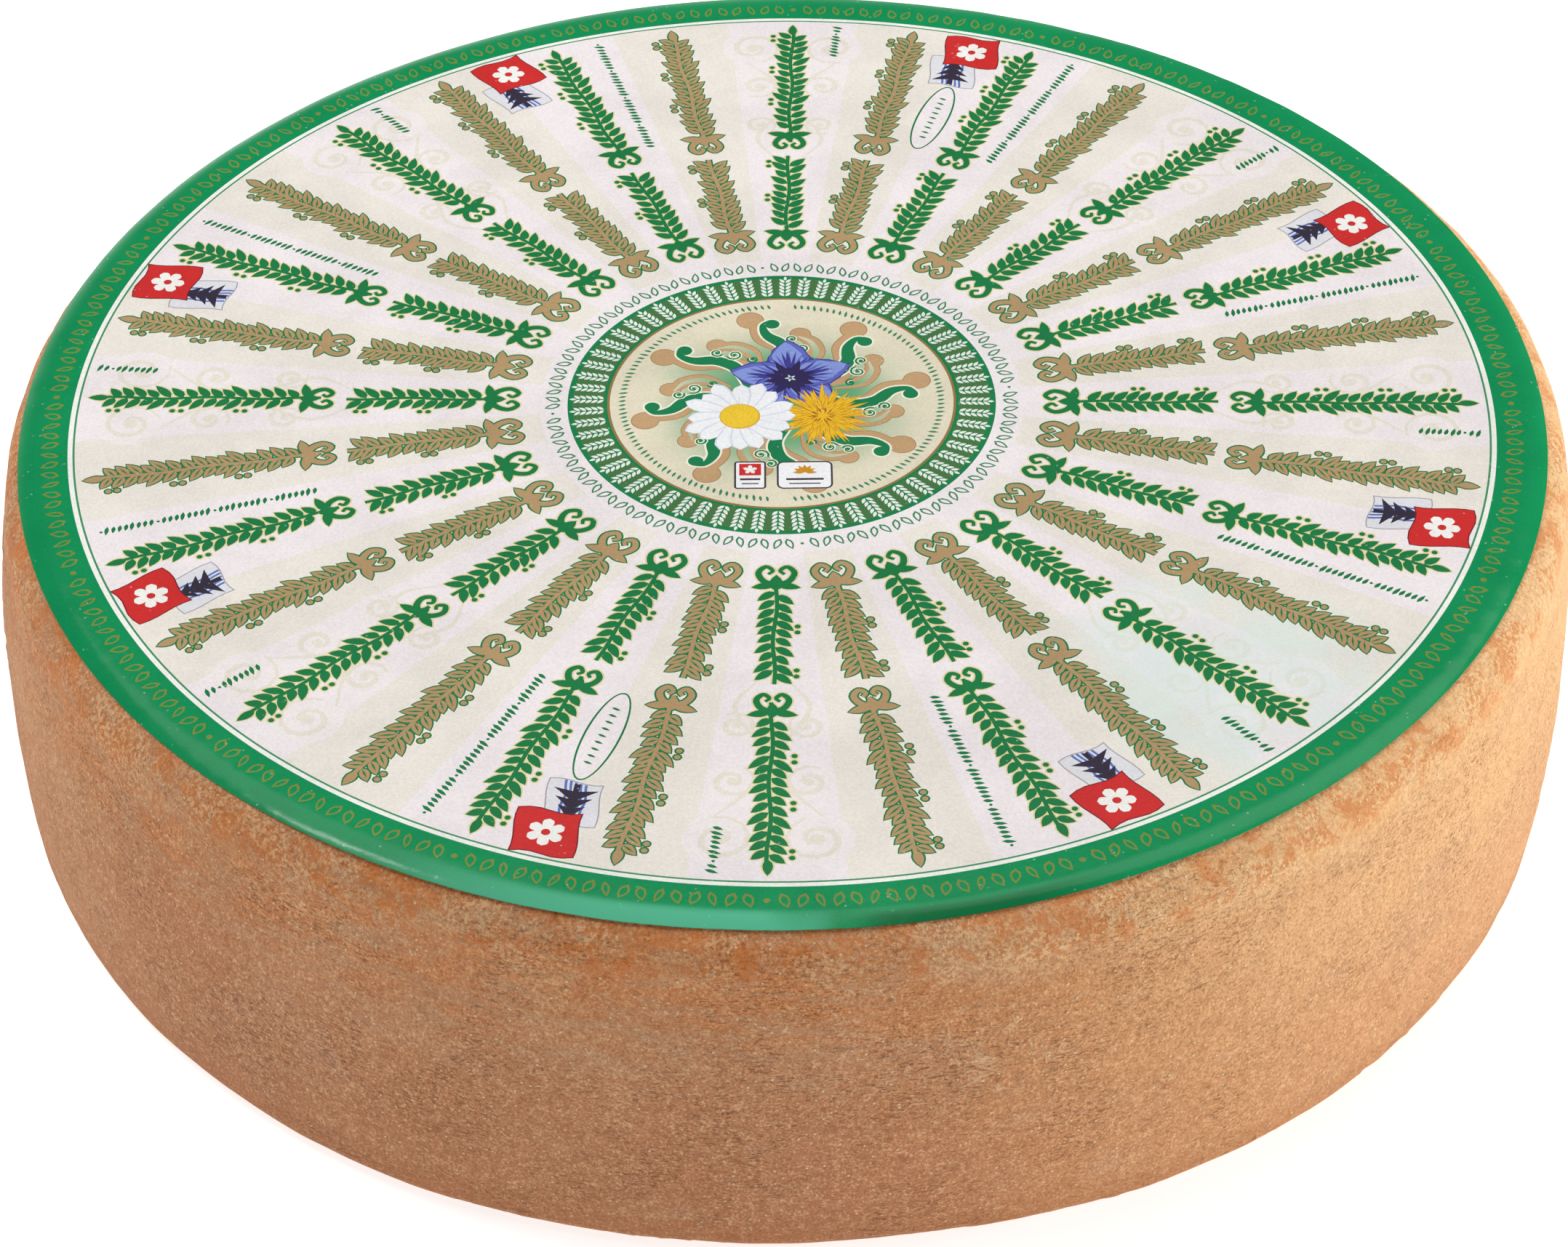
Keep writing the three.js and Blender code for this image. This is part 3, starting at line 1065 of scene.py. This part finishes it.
def make_label(inks):
    """One closed sheet: the cut-up printed side, a thin edge, and a plain underside."""
    flat, triangles, names = cut_into_inks()
    radius = np.hypot(flat[:, 0], flat[:, 1])
    edge = np.flatnonzero(radius > LABEL_RADIUS - 0.01)
    edge = edge[np.argsort(np.arctan2(flat[edge, 1], flat[edge, 0]))]
    top = np.column_stack([flat, label_height(flat[:, 0], flat[:, 1])])
    normals = label_normals(flat[:, 0], flat[:, 1])

    rings = [flat[edge]] + [flat[edge] * (r / LABEL_RADIUS) for r in UNDER_RINGS]
    under = np.vstack(rings + [np.zeros((1, 2))])
    under_height = label_height(under[:, 0], under[:, 1]) - LABEL_THICKNESS
    below = np.column_stack([under, under_height])
    first, count = len(top), len(edge)
    faces = [list(t) for t in triangles]
    slots = [inks.index(name) for name in names]
    printed_corners = 3 * len(faces)
    edge_ink, paper = inks.index("rim_green"), inks.index("bare_paper")
    middle = first + len(rings) * count
    for i in range(count):
        j = (i + 1) % count
        faces.append([int(edge[i]), first + i, first + j, int(edge[j])])
        slots.append(edge_ink)
        for ring in range(len(rings) - 1):
            a, b = first + ring * count, first + (ring + 1) * count
            faces.append([a + i, b + i, b + j, a + j])
            slots.append(paper)
        last = first + (len(rings) - 1) * count
        faces.append([last + j, last + i, middle])
        slots.append(paper)

    label = make_mesh("printed_label", np.vstack([top, below]), faces, [ink_materials[n] for n in inks])
    mesh = label.data
    mesh.polygons.foreach_set("material_index", slots)
    add_label_places(mesh, first)
    mesh.shade_smooth()
    corner_normals = np.zeros((len(mesh.loops), 3))
    corner_normals[:printed_corners] = normals[read(mesh.loops, "vertex_index")[:printed_corners]]
    mesh.normals_split_custom_set(corner_normals.tolist())
    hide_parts("top_label")
    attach(label, "root")


def add_label_places(mesh, first_below):
    """UVs: the print fills the square, the edge is a hair outside it, the underside sits in a corner."""
    corners = read(mesh.loops, "vertex_index")
    totals = read(mesh.polygons, "loop_total")
    flat = read(mesh.vertices, "co", 3, float).reshape(-1, 3)[corners, :2] / (LABEL_RADIUS * MM)
    lowest = np.minimum.reduceat(corners, np.concatenate([[0], np.cumsum(totals)[:-1]]))
    wholly_under = np.repeat(lowest >= first_below, totals)
    edge_side = (corners >= first_below) & ~wholly_under
    uv = 0.5 + PRINT_SPAN * flat
    uv[edge_side] = 0.5 + EDGE_SPAN * flat[edge_side]
    uv[wholly_under] = BACK_CORNER + BACK_SPAN * flat[wholly_under] * (1, -1)
    layer = mesh.uv_layers.new(name="OFBake")
    layer.data.foreach_set("uv", uv.ravel())


# ---- Inks ----
GLOSS = 0.45                            # of the clear film over the print
RIM_GLOSS = 0.28                        # and over the rim, where handling has dulled it
UNEVENNESS = 0.10                       # how much lighter and darker an ink gets, as a share


def printed(name, colour):
    """Ink under a clear film: uneven where the paper took it, with pale fibres showing through."""
    film = RIM_GLOSS if name == "rim_green" else GLOSS
    s = Surface("ink_" + name, roughness=0.5, specular=0.06, coat=film, coat_roughness=0.13)
    cloud = s.ranged(s.noise(55, 3, 0.6), 0.3, 0.7)
    tooth = s.ranged(s.noise(1900, 2, 0.6), 0.3, 0.7)
    lighter = tuple(min(1.0, c * (1 + UNEVENNESS) + 0.02 * UNEVENNESS) for c in colour)
    darker = tuple(c * (1 - UNEVENNESS) for c in colour)
    s.colour(s.mix(s.times(s.plus(cloud, tooth), 0.5), darker, lighter))
    fibre = s.times(s.ranged(s.scattered(620)[0], 0.17, 0.06), s.ranged(s.noise(240, 2), 0.52, 0.62))
    s.over(s.times(fibre, 0.35), 238, 233, 232)
    s.roughness(s.ranged(tooth, 0, 1, 0.36, 0.5))
    s.bump(s.plus(s.noise(320, 3, 0.6), s.times(tooth, 0.3)), 0.035, 0.6, coat_too=True)
    return s


INK_COLOURS = {                         # in screen values
    "rim_green": (0, 142, 84),
    "film_white": (244, 243, 238),
    "line_green": (60, 145, 96),
    "paper_white": (241, 233, 235),
    "cream": (237, 230, 221),
    "pale_white": (241, 234, 234),
    "pale_cream": (233, 226, 214),
    "text_green": (22, 122, 68),
    "sprig_edge": (226, 214, 160),
    "sprig_tan": (180, 149, 108),
    "banner_edge": (168, 164, 172),
    "banner_pale": (226, 226, 232),
    "banner_blue": (92, 118, 190),
    "banner_dark": (52, 44, 62),
    "banner_shade": (120, 32, 34),
    "banner_red": (208, 44, 44),
    "banner_white": (246, 244, 240),
    "rim_gold": (126, 138, 58),
    "caption_green": (58, 134, 92),
    "ring_green": (18, 128, 74),
    "ring_weave": (36, 122, 70),
    "ring_white": (232, 236, 228),
    "ring_gold": (150, 118, 70),
    "medallion": (228, 220, 196),
    "scroll_tan": (196, 160, 118),
    "scroll_brown": (168, 132, 92),
    "scroll_pale": (240, 238, 218),
    "scroll_green": (20, 126, 78),
    "gentian_light": (134, 152, 218),
    "gentian_blue": (96, 106, 192),
    "gentian_deep": (64, 60, 142),
    "gentian_dark": (48, 40, 86),
    "daisy_white": (243, 244, 250),
    "daisy_shade": (218, 223, 238),
    "daisy_eye": (240, 202, 56),
    "daisy_rim": (222, 172, 42),
    "dandelion_yellow": (240, 190, 40),
    "dandelion_deep": (206, 144, 30),
    "dandelion_brown": (170, 104, 34),
    "plaque_dark": (66, 52, 66),
    "bare_paper": (214, 205, 186),
}


def medallion_glow(s):
    """The medallion's cream ground turns soft green behind the flowers."""
    uneven = s.plus(s.distance_from(0, 0), s.ranged(s.noise(60, 2), 0, 1, -0.004, 0.004))
    s.over(s.ranged(uneven, 0.029, 0.010), 96, 166, 118)


def damp_patch(s):
    """Where the paper got damp and pressed on the cheese, a faint mint cloud shows."""
    wavering = s.ranged(s.noise(45, 3, 0.6), 0.3, 0.7, -0.012, 0.012)
    edge = s.plus(s.distance_from(0.080, -0.084), wavering)
    s.over(s.ranged(edge, 0.030, 0.006, 0, 0.6), 218, 238, 233)


def painted_rim_reflection(s):
    """Painted reflection on the rim: at the front a paler band stands in for the film's sheen over the
    shoulder; beside it a darker patch stands in for a dark reflection.
    """
    x, y, radius = s.axis("X"), s.axis("Y"), s.distance_from(0, 0)
    wavering = s.plus(x, s.ranged(s.noise(25, 2), 0, 1, -0.02, 0.02))
    # Painted reflection: a paler band along the outer front edge
    painted_sheen_band = s.times(
        s.ranged(radius, 0.1440, 0.1465), s.ranged(y, -0.125, -0.147), s.ranged(wavering, 0.004, -0.004)
    )
    s.over(s.times(painted_sheen_band, 0.8), 78, 190, 150)
    # Painted reflection: a darker patch just right of the front
    painted_dark_reflection = s.times(
        s.ranged(x, 0.010, 0.018), s.ranged(x, 0.060, 0.040),
        s.ranged(y, -0.10, -0.13), s.ranged(radius, 0.1458, 0.1472),
    )
    s.over(s.times(painted_dark_reflection, 0.8), 0, 100, 52)


def woven(s):
    """Fine crossing olive threads on the green of the ring."""
    threads = s.node("TexChecker", {"Vector": s.stretched((1, 1, 0.001), 0.7), "Scale": 2600})
    s.over(s.times(threads.outputs["Fac"], 0.55), 120, 104, 64)


def make_inks():
    surfaces = {name: printed(name, display(*screen)) for name, screen in INK_COLOURS.items()}
    medallion_glow(surfaces["medallion"])
    woven(surfaces["ring_weave"])
    painted_rim_reflection(surfaces["rim_green"])
    for name in ("paper_white", "cream", "pale_white", "pale_cream"):
        damp_patch(surfaces[name])
    return {name: surface.material for name, surface in surfaces.items()}


ink_materials = make_inks()
draw_print()
make_label(list(INK_COLOURS))
